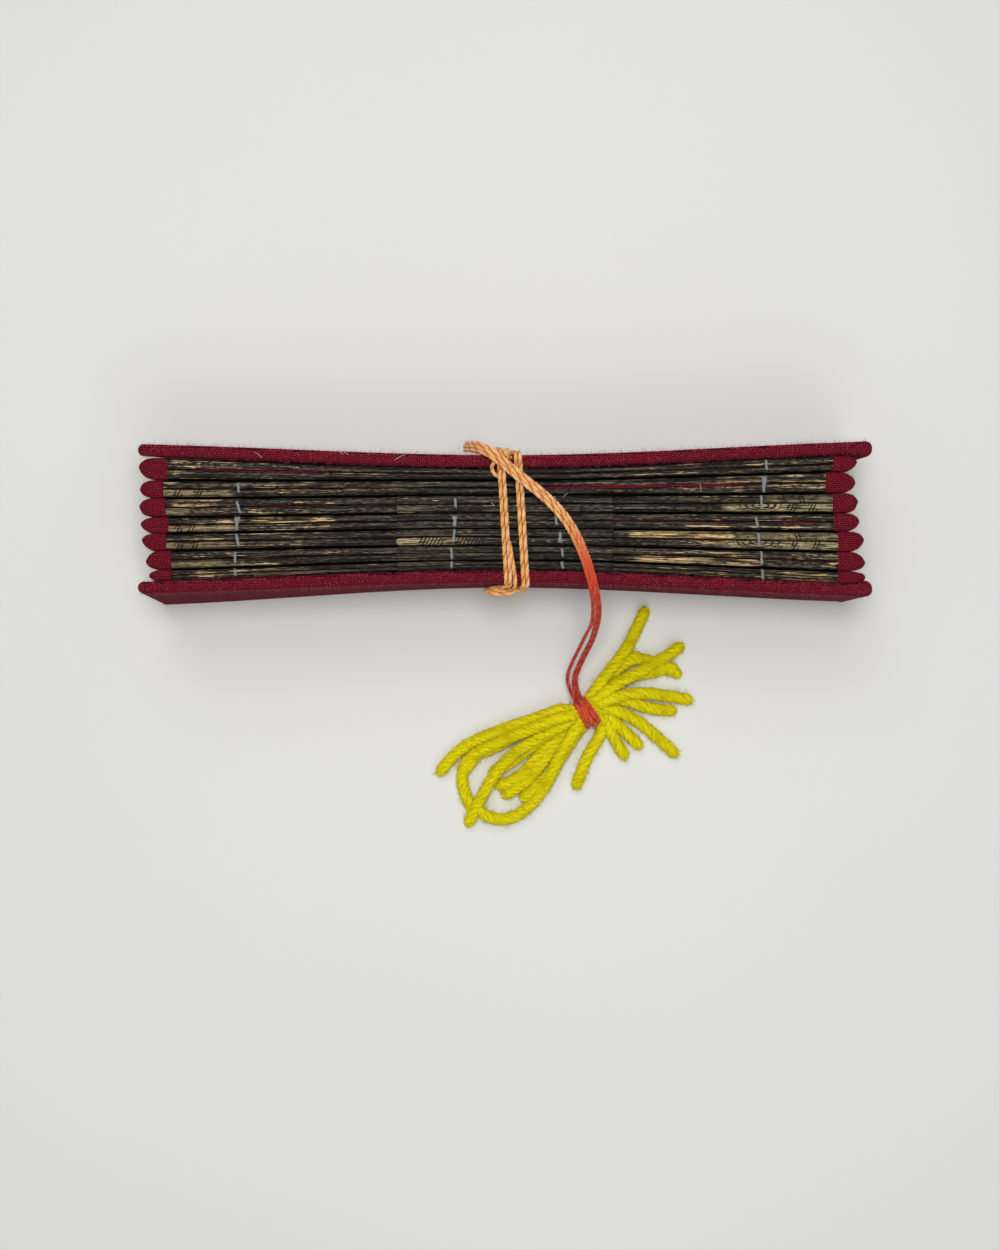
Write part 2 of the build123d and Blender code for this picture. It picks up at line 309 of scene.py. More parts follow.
def colour(red, green, blue):
    """A colour from its screen values of 0 to 255."""
    linear = []
    for level in (red, green, blue):
        share = level / 255
        linear.append(share / 12.92 if share < 0.04045 else ((share + 0.055) / 1.055) ** 2.4)
    return (*linear, 1.0)


def new_finish(name, **uniform):
    """A material and its tree; what is the same all over sits on its shader's sockets."""
    material = bpy.data.materials.new(name)
    material.use_nodes = True
    tree = material.node_tree
    tree.nodes.clear()
    inputs = {key.replace("_", " "): value for key, value in uniform.items()}
    shader = put(tree, "ShaderNodeBsdfPrincipled", inputs)
    put(tree, "ShaderNodeOutputMaterial", {"Surface": shader})
    return material, tree


def coloured(material, tone, height=None, depth=0.0, strength=1.0):
    """A finish with its colour and any fine relief, depth in millimetres."""
    shader = material.node_tree.nodes["Principled BSDF"]
    feed(shader, "Base Color", tone)
    if height:
        inputs = {"Height": height, "Distance": depth * mm, "Strength": strength}
        feed(shader, "Normal", put(material.node_tree, "ShaderNodeBump", inputs))
    return material


# Finishes


def cloth_finish(name, wrapped):
    """Crimson plain-weave cotton, with painted shade in the weave's hollows and a painted sheen where one
    set of threads lies on top. A wrapped piece counts its cross threads over the edge.
    """
    thread_pitch = 0.43
    thread_wobble = 1.4
    material, tree = new_finish(name, Roughness=0.9, Specular_IOR_Level=0.08, Sheen_Weight=0.04,
                                Sheen_Tint=(0.75, 0.12, 0.2, 1))
    if wrapped:
        spot = object_place(tree).scaled(1 / mm)
        along, outwards, upwards = split(spot)
        across = outwards + upwards
    else:
        spot, = kept(tree, "weave", out="Vector")
        along, across, _ = split(spot)
    wobble = spot.speckle(0.7, 2.0)
    warp = wobble * thread_wobble + along / thread_pitch
    weft = wobble * -thread_wobble + across / thread_pitch
    odd_warp, odd_weft = (way.work("FLOOR").work("FLOORED_MODULO", 2.0) for way in (warp, weft))
    over = (odd_warp - odd_weft).work("ABSOLUTE")
    rise_warp, rise_weft = ((way * pi).work("SINE").work("ABSOLUTE") for way in (warp, weft))
    upper = rise_weft * (rise_warp * 0.4 + 0.6)
    lower = rise_warp * (rise_weft * 0.4 + 0.6)
    height = upper * over + lower * (1.0 - over)
    tone = spot.speckle(0.12, 3.0).blended((122, 18, 36), (150, 30, 48))
    # Painted sheen: the cells where one set of threads lies on top take a lighter red.
    light = over.blended(tone, (158, 42, 58))
    # Painted shade: the weave's low places, between and under the threads, darken towards near black.
    tone = height.between(0.3, 0.95).blended((44, 3, 11), light)
    thread = spot.speckle(1.9, 2.0).between(0.34, 0.46, 0.5, 0.0)
    tone = thread.blended(tone, (58, 5, 16))
    lint = spot.speckle(0.9, 5.0, 0.7).between(0.64, 0.8, 0.0, 0.35)
    return coloured(material, lint.blended(tone, (186, 104, 116)), height, 0.12, 0.9)


def leaf_finish():
    """Inked palm leaf: charcoal with rubbed golden streaks along the grain, and cut marks, with painted
    shade where the strips' surface drops below the crest into the grooves and valleys.
    """
    bar_pitch, bar_half_share = 0.78, 0.24
    ring_pitch, ring_reach, ring_narrow_share, ring_line_share = 0.42, 1.36, 0.3, 0.42
    material, tree = new_finish("inked_leaf", Roughness=0.64, Specular_IOR_Level=0.2)
    grain, marks, wear_and_shade = kept(tree, "grain", "marks", "wear_and_shade", out="Vector")
    along, across, strip = split(grain)
    hatch, ring_place, pale = split(marks)
    wear, depth, _ = split(wear_and_shade)

    def stretched(along_scale, across_scale, own, detail=3.0):
        """Noise that runs with the grain, and is each strip's own."""
        return joined(along * along_scale, across * across_scale, strip * own).speckle(1.0, detail)

    streak = stretched(0.035, 2.5, 3.7)
    fleck = stretched(0.22, 3.6, 5.3)
    fibre = stretched(0.06, 3.3, 2.3)
    dust = stretched(1.6, 6.0, 1.9, 2.0)
    broad = stretched(0.03, 0.5, 6.1, 2.0)
    scratch = stretched(0.8, 4.6, 4.3, 4.0)
    dark = broad.between(0.38, 0.62).blended((9, 8, 7), (27, 24, 19))
    light = broad.between(0.35, 0.65).blended((74, 70, 60), (112, 101, 80))
    worked = scratch * 0.5 + fibre * 0.5
    ink = worked.between(0.48, 0.6).blended(dark, light)
    gold = fleck.between(0.4, 0.6).blended((126, 102, 66), (222, 190, 136))
    edge = wear * -0.34 + 0.7
    golden = streak * 0.45 + fleck * 0.3 + scratch * 0.25
    tone = golden.between(edge - 0.03, edge + 0.03).blended(ink, gold)
    olive = dust.between(0.35, 0.65).blended((146, 131, 98), (198, 178, 134))
    olive = fleck.between(0.48, 0.58).blended(olive, (40, 36, 27))
    tone = pale.blended(tone, olive)
    line = fibre.between(0.38, 0.48, 0.95, 0.0) * (pale * -0.5 + 1.0)
    tone = line.blended(tone, (9, 8, 6))
    tone = scratch.between(0.36, 0.48, 0.75, 0.0).blended(tone, (18, 15, 11))

    bars = ((across * 0.5 + along) / bar_pitch).work("FRACT") - 0.5
    bars = bars.work("ABSOLUTE").work("LESS_THAN", bar_half_share) * hatch.work("GREATER_THAN", 0.5)
    reach = (ring_place * ring_narrow_share).work("POWER", 2.0) + across.work("POWER", 2.0)
    reach = reach.work("SQRT")
    rings = (reach / ring_pitch).work("FRACT").work("LESS_THAN", ring_line_share)
    cut = bars.work("MAXIMUM", rings * reach.work("LESS_THAN", ring_reach))
    tone = (cut * 0.9).blended(tone, (15, 13, 11))
    # Painted shade: the deeper a point lies below its strip's crest, the nearer to black it is painted.
    tone = depth.between(0.2, 1.1).blended(tone, (7, 6, 5))
    return coloured(material, tone, worked - cut * 0.6, 0.16, 0.8)


def spun_hair(tree, along_scale, round_scale, detail):
    """Noise that runs with the fibres of each ply."""
    along, around, ply = kept(tree, "along", "round", "ply")
    return joined(along * (along_scale / mm), around * round_scale, ply).speckle(1.0, detail)


def cord_finish(name, end=None):
    """Shiny cotton plies, each with a dye of its own; the tail runs from gold into red."""
    material, tree = new_finish(name, Roughness=0.5, Sheen_Weight=0.08, Specular_IOR_Level=0.3)
    along, ply, tint = kept(tree, "along", "ply", "tint")
    dye = joined(along * (0.16 / mm), tint * 9.1, 0.0).speckle(1.0, 2.0).between(0.35, 0.65)
    tone = (dye * 0.35 + tint * 0.65).blended((242, 186, 92), (250, 200, 152))
    odd = ply.work("FLOORED_MODULO", 2.0)
    tone = (odd * 0.75).blended(tone, (204, 100, 36))
    if end:
        run, = kept(tree, "run")
        ramp = run.into("ShaderNodeValToRGB")
        dyes = ramp.node.color_ramp.elements
        for dyed, (position, shade) in zip((dyes[0], dyes[1]), (end[0], end[-1])):
            dyed.position = position
            dyed.color = colour(*shade)
        for position, shade in end[1:-1]:
            dyes.new(position).color = colour(*shade)
        red = (odd * 0.5).blended(ramp, (226, 100, 66))
        tone = run.between(end[0][0], end[0][0] + 0.16).blended(tone, red)
    hair = spun_hair(tree, 0.9, 8.0, 2.0)
    tone = hair.between(0.36, 0.5, 0.4, 0.0).blended(tone, (128, 52, 16))
    return coloured(material, tone, hair, 0.06, 0.7)


def yarn_finish():
    """Soft lemon-yellow wool."""
    material, tree = new_finish("yellow_wool", Roughness=0.95, Sheen_Weight=0.12,
                                Specular_IOR_Level=0.08, Sheen_Tint=(1, 0.9, 0.2, 1))
    hair = spun_hair(tree, 0.7, 9.0, 3.0)
    tone = hair.between(0.35, 0.62).blended((196, 178, 2), (230, 220, 18))
    return coloured(material, tone, hair, 0.16, 0.8)


def plain_thread(name, tone_low, tone_high):
    """Loose fibres and short threads."""
    material, tree = new_finish(name, Roughness=0.9, Specular_IOR_Level=0.1)
    return coloured(material, object_place(tree).speckle(0.8 / mm, 2.0).blended(tone_low, tone_high))


# Geometry trees


def tree_with_inputs(name, **sockets):
    """A geometry tree with one geometry output, and the values of its named inputs."""
    tree = bpy.data.node_groups.new(name, "GeometryNodeTree")
    for label, kind in sockets.items():
        tree.interface.new_socket(label, in_out="INPUT", socket_type=f"NodeSocket{kind}")
    tree.interface.new_socket("Geometry", in_out="OUTPUT", socket_type="NodeSocketGeometry")
    given = put(tree, "NodeGroupInput")
    return tree, [given.other(label) for label in sockets]


def close_tree(tree, geometry, finish):
    """Ends a tree: real geometry, smooth, in its material."""
    real = geometry.into("GeometryNodeSetShadeSmooth").into("GeometryNodeRealizeInstances")
    put(tree, "NodeGroupOutput", {0: real.into("GeometryNodeSetMaterial", {"Material": finish})})
    return tree


def storing(geometry, label, value):
    """Geometry that keeps a value at its points."""
    inputs = {"Name": label, "Value": value}
    return geometry.into("GeometryNodeStoreNamedAttribute", inputs, data_type="FLOAT")


def tube(line, ring, size):
    """A ring drawn along a line, with closed ends."""
    inputs = {"Profile Curve": ring, "Scale": size, "Fill Caps": True}
    return line.into("GeometryNodeCurveToMesh", inputs)


def plied_thread_tree():
    """Lines of points become twisted threads of several plies."""
    tree, given = tree_with_inputs(
        "plied_thread", Lines="Geometry", Plies="Int", Ply_radius="Float", Lay_radius="Float",
        Pitch="Float", Step="Float", Sides="Int", End_length="Float", Finish="Material",
    )
    lines, plies, ply_radius, lay_radius, pitch, step, sides, end_length, finish = given
    fine = lines.into("GeometryNodeMeshToCurve")
    fine = fine.into("GeometryNodeResampleCurve", {"Length": step}, mode="LENGTH")
    copies = fine.into("GeometryNodeDuplicateElements", {"Amount": plies}, domain="SPLINE")
    ply = copies.other(1)
    length = put(tree, "GeometryNodeSplineParameter", out="Length")
    whole = put(tree, "GeometryNodeSplineLength", out="Length")
    swell = length.work("MINIMUM", whole - length).between(0.0, end_length, 0.5, 1.0)
    angle = (length / pitch + ply / plies) * tau
    marked = storing(storing(copies, "along", length), "ply", ply)
    normal = put(tree, "GeometryNodeInputNormal")
    sideways = put(tree, "GeometryNodeInputTangent").turned("CROSS_PRODUCT", normal)
    out, aside = (way.scaled(angle.work(wave) * lay_radius * swell)
                  for way, wave in ((normal, "COSINE"), (sideways, "SINE")))
    wound = marked.into("GeometryNodeSetPosition", {"Offset": out.turned("ADD", aside)})
    ring = put(tree, "GeometryNodeCurvePrimitiveCircle", {"Resolution": sides, "Radius": ply_radius})
    ring = storing(ring, "round", put(tree, "GeometryNodeSplineParameter", out="Factor"))
    return close_tree(tree, tube(wound, ring, swell), finish)


def fuzz_tree():
    """Short bent fibres that stand loosely on a surface."""
    tree, given = tree_with_inputs(
        "fuzz", Surface="Geometry", Density="Float", Shortest="Float", Longest="Float",
        Thickness_share="Float", Lean="Float", Seed="Int", Finish="Material",
    )
    surface, density, shortest, longest, thickness_share, lean, seed, finish = given
    inputs = {"Density": density, "Seed": seed}
    spots = surface.into("GeometryNodeDistributePointsOnFaces", inputs, "Points")
    line = put(tree, "GeometryNodeCurvePrimitiveLine", {"End": (0, 0, 1)})
    line = line.into("GeometryNodeResampleCurve", {"Count": 3}, mode="COUNT")
    share = put(tree, "GeometryNodeSplineParameter", out="Factor")
    bend = joined(share.work("POWER", 2.0) * 0.45, 0.0, 0.0)
    line = line.into("GeometryNodeSetPosition", {"Offset": bend})
    inputs = {"Resolution": 3, "Radius": thickness_share}
    ring = put(tree, "GeometryNodeCurvePrimitiveCircle", inputs)
    fibre = tube(line, ring, 1.05 - share)
    inputs = {2: shortest, 3: longest, "Seed": seed}
    size = put(tree, "FunctionNodeRandomValue", inputs, 1, data_type="FLOAT")
    inputs = {"Instance": fibre, "Rotation": spots.other("Rotation"), "Scale": size}
    hairs = spots.into("GeometryNodeInstanceOnPoints", inputs)
    tilt = joined(lean, lean, pi)
    inputs = {0: tilt.turned("MULTIPLY", (-1, -1, -1)), 1: tilt, "Seed": seed + 1}
    tilt = put(tree, "FunctionNodeRandomValue", inputs, data_type="FLOAT_VECTOR")
    inputs = {"Rotation": tilt, "Local Space": True}
    return close_tree(tree, hairs.into("GeometryNodeRotateInstances", inputs), finish)


def grown(name, mesh, tree, **values):
    """The mesh that a geometry tree makes of another mesh, as a plain object."""
    source = bpy.data.objects.new(name, mesh)
    bpy.context.scene.collection.objects.link(source)
    step = source.modifiers.new("grow", "NODES")
    step.node_group = tree
    for item in tree.interface.items_tree:
        if item.in_out == "INPUT" and item.name in values:
            step[item.identifier] = values[item.name]
    depsgraph = bpy.context.evaluated_depsgraph_get()
    made = bpy.data.meshes.new_from_object(source.evaluated_get(depsgraph), depsgraph=depsgraph)
    source.modifiers.remove(step)
    source.data = made
    made.name = name
    return source


def above_floor(piece):
    """What would reach through the floor lies down on it."""
    for vertex in piece.data.vertices:
        vertex.co.z = max(vertex.co.z, 0.02 * mm)


def lines_mesh(name, lines, **values):
    """Open lines of points, in millimetres, as a mesh of edges; a value is each line's or each point's."""
    mesh = bpy.data.meshes.new(name)
    points, edges = [], []
    for line in lines:
        start = len(points)
        points.extend(np.asarray(line) * mm)
        edges.extend((start + i, start + i + 1) for i in range(len(line) - 1))
    mesh.from_pydata([tuple(p) for p in points], edges, [])
    for label, rows in values.items():
        levels = [np.broadcast_to(row, len(line)) for row, line in zip(rows, lines)]
        attribute = mesh.attributes.new(label, "FLOAT", "POINT")
        attribute.data.foreach_set("value", np.concatenate(levels).astype(np.float32))
    return mesh


def twisted(tree, name, lines, finish, plies, radius, lay, pitch, step, sides, end, **values):
    """Lines of points as twisted threads, with sizes in millimetres."""
    mesh = lines_mesh(f"{name}_lines", lines, **values)
    return grown(name, mesh, tree, Plies=plies, Ply_radius=radius * mm, Lay_radius=lay * mm,
                 Pitch=pitch * mm, Step=step * mm, Sides=sides, End_length=end * mm, Finish=finish)


def fuzzy(tree, name, surface, finish, density, shortest, longest, thickness_share, lean, seed):
    """Loose fibres on a surface, with lengths in millimetres and density in fibres to a square one."""
    return grown(name, surface, tree, Density=density / mm**2, Shortest=shortest * mm,
                 Longest=longest * mm, Thickness_share=thickness_share, Lean=lean, Seed=seed,
                 Finish=finish)


def smooth_route(route, steps=14):
    """Points along the smooth curve that a route of control points gives, in millimetres."""
    curve = bpy.data.curves.new("route", "CURVE")
    curve.dimensions = "3D"
    spline = curve.splines.new("NURBS")
    spline.points.add(len(route) - 1)
    for point, place_on in zip(spline.points, route):
        point.co = (*(value * mm for value in place_on), 1)
    spline.order_u = 3
    spline.use_endpoint_u = True
    curve.resolution_u = steps
    holder = bpy.data.objects.new("route", curve)
    bpy.context.scene.collection.objects.link(holder)
    bpy.context.view_layer.update()
    mesh = bpy.data.meshes.new_from_object(holder)
    points = np.array([vertex.co for vertex in mesh.vertices]) / mm
    bpy.data.objects.remove(holder)
    bpy.data.meshes.remove(mesh)
    return points


def rounded_route(points, radii, steps=8):
    """A pulled cord's line: straight runs with a round bend at each corner."""
    points = [np.array(point, float) for point in points]
    line = [points[0]]
    for before, corner, after, radius in zip(points, points[1:], points[2:], radii):
        to_start = (before - corner) / np.linalg.norm(before - corner)
        to_end = (after - corner) / np.linalg.norm(after - corner)
        turn = pi - np.arccos(np.clip(to_start @ to_end, -1, 1))
        cut = radius * np.tan(turn / 2)
        middle = to_start + to_end
        middle = middle / np.linalg.norm(middle)
        centre = corner + middle * radius / cos(turn / 2)
        first = corner + to_start * cut - centre
        last = corner + to_end * cut - centre
        for step in range(steps + 1):
            share = step / steps
            sweep = (first * sin((1 - share) * turn) + last * sin(share * turn)) / sin(turn)
            line.append(centre + sweep)
    line.append(points[-1])
    return np.array(line)


def side_vectors(line, start_side):
    """Directions across a line that turn with it as little as they can."""
    tangents = np.gradient(line, axis=0)
    tangents /= np.linalg.norm(tangents, axis=1)[:, None]
    sides = [np.array(start_side, float)]
    for tangent in tangents:
        side = sides[-1] - tangent * (sides[-1] @ tangent)
        sides.append(side / np.linalg.norm(side))
    sides = np.array(sides[1:])
    return sides, np.cross(tangents, sides)


def shares_along(line):
    steps = np.linalg.norm(np.diff(line, axis=0), axis=1)
    lengths = np.concatenate([[0], np.cumsum(steps)])
    return lengths / lengths[-1], lengths


# Camera and light


def make_camera():
    camera = bpy.data.objects.new("camera", bpy.data.cameras.new("camera"))
    camera.location = (camera_x * mm, camera_y * mm, camera_height * mm)
    camera.data.lens = camera_lens
    camera.data.sensor_width = camera_sensor
    camera.data.clip_start = 0.01
    bpy.context.scene.collection.objects.link(camera)
    bpy.context.scene.camera = camera


def make_lamp(name, place_at, size, watts):
    lamp = bpy.data.objects.new(name, bpy.data.lights.new(name, "AREA"))
    lamp.data.shape = "DISK"
    lamp.data.size = size
    lamp.data.energy = watts
    lamp.location = place_at
    toward = -np.array(place_at)
    lamp.rotation_mode = "XYZ"
    flat = np.hypot(toward[0], toward[1])
    lamp.rotation_euler = (atan2(flat, -toward[2]), 0, atan2(-toward[0], toward[1]))
    bpy.context.scene.collection.objects.link(lamp)


def make_room():
    """A plain pale floor that runs into a backdrop of the same tone, and soft light."""
    scene = bpy.context.scene
    scene.view_settings.view_transform = "Standard"
    backdrop = {"Color": colour(224, 224, 220), "Strength": 1.0}
    world = bpy.data.worlds.new("soft_light")
    world.use_nodes = True
    tree = world.node_tree
    tree.nodes.clear()
    soft = put(tree, "ShaderNodeBackground", {"Color": (1, 1, 1, 1), "Strength": 0.22})
    seen = put(tree, "ShaderNodeBackground", backdrop)
    both = camera_ray(tree).into("ShaderNodeMixShader", {1: soft, 2: seen})
    put(tree, "ShaderNodeOutputWorld", {"Surface": both})
    scene.world = world
    make_lamp("overhead", (0.0, 0.03, 0.6), 0.2, 1.9)
    make_lamp("window", (-0.2, 0.6, 1.0), 0.7, 2.7)
    make_lamp("front", (0.2, -0.62, 0.95), 0.7, 1.9)

    half = 2.5
    fade_start, fade_end = 0.22, 0.8
    mesh = bpy.data.meshes.new("floor")
    corners = [(-half, -half, 0), (half, -half, 0), (half, half, 0), (-half, half, 0)]
    mesh.from_pydata(corners, [], [(0, 1, 2, 3)])
    floor = bpy.data.objects.new("floor", mesh)
    scene.collection.objects.link(floor)
    material, tree = new_finish("pale_table", Roughness=0.7, Specular_IOR_Level=0.2)
    spot = object_place(tree)
    tone = spot.speckle(6.0, 2.0).blended((226, 226, 222), (230, 230, 227))
    mesh.materials.append(coloured(material, tone))
    share = spot.turned("LENGTH", out=1).between(fade_start, fade_end) * camera_ray(tree)
    near = Value(tree.nodes["Principled BSDF"], 0)
    seen = put(tree, "ShaderNodeEmission", backdrop)
    both = share.into("ShaderNodeMixShader", {1: near, 2: seen})
    feed(tree.nodes["Material Output"], "Surface", both)


# Cords


def wrap_lines():
    """The strands of the two windings; on the near board they pull aside before they go down."""
    under = strand_clearance + strand_diameter / 2
    head_y = float(half_top(0.0)) + board_thickness + under
    foot_y = float(half_base(0.0)) + board_thickness + under
    face_y = (head_y + foot_y) / 2
    head = cover_height + under

    def on_face(x, z, stand_off):
        return (x, -head_y + (head_y - foot_y) * (head - z) / (head - under) - stand_off, z)

    lines = []
    for strand, offset in enumerate((0, strand_spacing)):
        first, second, last = (x + offset for x in (first_pass_x, second_pass_x, last_run_x))
        route, radii = [(first_run_x + offset, face_y, knot_height)], []
        for winding, start in enumerate((first, second)):
            place_in = 2 * winding + strand
            route += [
                (start, head_y, head),
                (start + pass_lean, -head_y, head),
                on_face(start + pass_lean - 0.8, 28.6 - 0.25 * strand, 0.95 - 0.25 * place_in),
                on_face(pull_x + 0.35 * place_in, 27.6 - 0.8 * place_in, 1.2 - 0.3 * place_in),
                on_face(pull_x + 1.0 + 0.8 * place_in, 13.0, 0.05),
                (start + pass_lean, -foot_y, under),
                (second if winding == 0 else last, foot_y, under),
            ]
            radii += [wrap_radius, 1.15, 1.0, 1.0, 2.0, foot_radius, foot_radius]
        route.append((last, face_y, knot_height))
        lines.append(rounded_route(route, radii))
    return lines


def low_strand(head):
    """The strand that joins the first pass low down and lies over the near board."""
    return smooth_route([
        (0.9, -4.6, head - 0.5), (1.3, -7.4, head - 0.35), (1.95, -11.0, head - 0.05),
        (2.2, -13.4, head + 0.1), (2.0, -15.3, head - 0.9), (0.2, -15.9, 29.0), (-3.4, -15.6, 28.6),
        (-4.4, -15.0, 25.0), (-3.6, -14.6, 19.0),
    ], 10)


def small_loop(head):
    """The loop that stands up beside the passes by the far board."""
    return smooth_route([
        (0.3, 12.4, head + 0.2), (-1.2, 12.6, head + 0.75), (-2.7, 11.4, head + 0.3),
        (-2.8, 9.8, head - 0.3), (-1.6, 8.9, head - 0.5), (-0.4, 8.4, head - 0.6),
    ], 10)


def edge_twist(head):
    """The strand that twists round the passes where they go over the far board."""
    turns, radius = 1.7, 0.5
    start_x, reach_x = -2.0, 3.3
    start_out, reach_in, lift = 0.9, 1.2, 0.4
    share = np.linspace(0, 1, 40)
    angle = tau * turns * share
    edge = half_top(0.0) + board_thickness
    y = edge + start_out - reach_in * share + radius * np.cos(angle)
    return np.stack([start_x + reach_x * share, y, head + lift + radius * np.sin(angle)], -1)


def knot_coil():
    """The knot on the far board's face, a coil that is thickest in its middle."""
    turns, steps_to_a_turn = 4, 18
    end_swell, middle_swell = 0.55, 0.45
    half_height, climb, pressed_in = 1.3, 0.5, 0.2
    share = np.linspace(0, 1, turns * steps_to_a_turn + 1)
    angle = tau * turns * share
    swell = end_swell + middle_swell * np.sin(pi * share)
    face_y = (half_top(0.0) + half_base(0.0)) / 2 + board_thickness
    middle_y = face_y + strand_clearance + knot_thickness / 2 - pressed_in
    return np.stack([
        knot_x + (share - 0.5) * (knot_length - strand_diameter),
        middle_y + (knot_thickness - strand_diameter) / 2 * swell * np.cos(angle),
        knot_height + half_height * swell * np.sin(angle) + climb * (share - 0.5),
    ], -1)


def make_wraps(plied):
    """Two windings of paired strands, the strand, loop and twist that lie by them, and the knot."""
    head = cover_height + strand_clearance + strand_diameter / 2
    lines = [*wrap_lines(), low_strand(head), small_loop(head), edge_twist(head), knot_coil()]
    piece = twisted(plied, "wound_cord", lines, cord_finish("cotton_cord"), plies=3,
                    radius=wound_ply_radius, lay=wound_ply_radius, pitch=ply_pitch, step=0.2, sides=7,
                    end=0.3, tint=(0.05, 0.85, 0.3, 0.5, 0.4, 0.2))
    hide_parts("tie_wraps")
    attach(piece, "root")
    return piece


def make_tail(plied, parts):
    """Three strands side by side that part low down, before the tassel."""
    line = smooth_route(tail_route)
    share, lengths = shares_along(line)
    sides, ups = side_vectors(line, (0, 0, 1))
    level = int(np.argmin(np.abs(share - level_share)))
    flat = np.cross(np.gradient(line, axis=0)[level], (0, 0, 1))
    flat /= np.linalg.norm(flat)
    rocking = 0.3 * np.sin(share * 9)
    angle = (atan2(flat @ ups[level], flat @ sides[level]) + rocking)[:, None]
    across = np.cos(angle) * sides + np.sin(angle) * ups
    above = np.cos(angle) * ups - np.sin(angle) * sides
    parted = (smooth_step(*parting_shares, share) * smooth_step(*closing_shares, share))[:, None]
    lines = []
    for strand, aside in ((-1, -0.95), (0, -0.35), (1, 1.1)):
        spread = strand * tail_spacing * (1 - parted) + aside * parted
        wave = 0.1 * np.cos(share * 30 + strand * 2.1)[:, None] * (1 - parted)
        lift = 0.25 * (1 - abs(strand)) + wave
        lines.append(line + spread * across - lift * above)
    finish = cord_finish("tail_cord", [
        (0.4, (238, 140, 66)), (0.52, (220, 80, 42)), (0.62, (192, 42, 28)),
        (1.0, (166, 30, 18)),
    ])
    piece = twisted(plied, "cord_tail", lines, finish, plies=3, radius=0.215, lay=0.215,
                    pitch=ply_pitch, step=0.2, sides=7, end=0.3, run=[share] * 3, tint=(0.9, 0.1, 0.6))
    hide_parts("tie_tail")
    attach(piece, "root")


def at_waist(across, along, z):
    """Places by the tassel's waist: how far across it, how far along it, and how high."""
    turn = waist_turn * pi / 180
    x = waist_x + along * cos(turn) - across * sin(turn)
    y = waist_y + along * sin(turn) + across * cos(turn)
    return np.stack(np.broadcast_arrays(x, y, z), -1)


def make_band(plied):
    """The cord's end, wound round the tassel's waist and knotted."""
    lines = []
    middle_z = waist_height / 2 + band_thickness + band_clearance
    shifts = [(-1.35, 0.2), (-0.7, -0.2), (0.05, 0.25), (0.75, -0.1), (1.4, 0.1)]
    for turn, (shift, slant) in enumerate(shifts):
        angle = np.linspace(0, tau, 45) + 0.8 * turn
        reach = strand_diameter / 2 - 0.05 + 0.16 * (turn % 2)
        across = (waist_width / 2 + reach) * np.cos(angle)
        along = shift + slant * np.cos(angle) + 0.1 * np.sin(2 * angle + turn)
        z = middle_z + (waist_height / 2 + reach) * np.sin(angle) + 0.25
        lines.append(at_waist(across, along, z))
    top = middle_z + waist_height / 2 + strand_diameter
    for side, lean in ((-0.5, 0.5), (0.35, -0.4)):
        lines.append(smooth_route([
            at_waist(3.3, side - lean, top - 1.3), at_waist(1.8, side, top + 0.1),
            at_waist(-0.6, side + lean, top + 0.25), at_waist(-2.3, side + lean, top - 0.1),
            at_waist(-3.4, side + 1.4 * lean, top - 1.9),
        ], 8))
    finish = cord_finish("neck_cord", [(0.3, (216, 96, 46)), (1.0, (206, 66, 26))])
    tints = [(0.3 * place_in) % 1 for place_in in range(len(lines))]
    piece = twisted(plied, "neck_windings", lines, finish, plies=2, radius=0.25, lay=0.2, pitch=2.4,
                    step=0.16, sides=8, end=0.2, run=[1] * len(lines), tint=tints)
    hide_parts("tassel_band")
    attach(piece, "root")
    return piece


# Tassel

# Each yarn: how far across the waist it starts, its height there, and the rest of its route, whose points
# lie on the table where they have no height of their own
right_yarns = [
    (2.3, 3.4, [(20.4, -36.4, 3.6), (24.1, -31.6, 2.8), (27.5, -27.4, 2.0), (30.0, -22.0, 1.5),
                (31.7, -18.3)]),
    (1.2, 4.6, [(25.6, -34.8, 3.8), (33.2, -31.4, 2.4), (40.0, -26.6)]),
    (1.5, 1.6, [(25.0, -32.0, 1.6), (31.0, -28.6), (39.4, -33.6)]),
    (0.2, 4.4, [(26.8, -37.6, 3.4), (33.4, -37.4, 1.8), (42.0, -39.2)]),
    (0.3, 2.0, [(26.4, -38.6, 1.8), (33.0, -41.4, 1.5), (38.4, -41.4)]),
    (-0.8, 3.2, [(24.8, -41.2, 2.6), (31.0, -44.2, 1.6), (38.6, -51.6)]),
    (-1.3, 1.7, [(24.2, -43.4, 1.5), (30.6, -49.8)]),
    (-1.9, 2.6, [(23.2, -45.6, 1.6), (27.2, -52.2)]),
    (-2.2, 1.5, [(21.8, -46.8), (18.2, -51.6), (15.8, -59.0)]),
    (0.9, 1.5, [(27.2, -33.8), (34.6, -32.6), (38.6, -31.4)]),
    (1.9, 1.6, [(22.2, -36.2, 1.5), (26.2, -30.6), (30.4, -28.8)]),
]
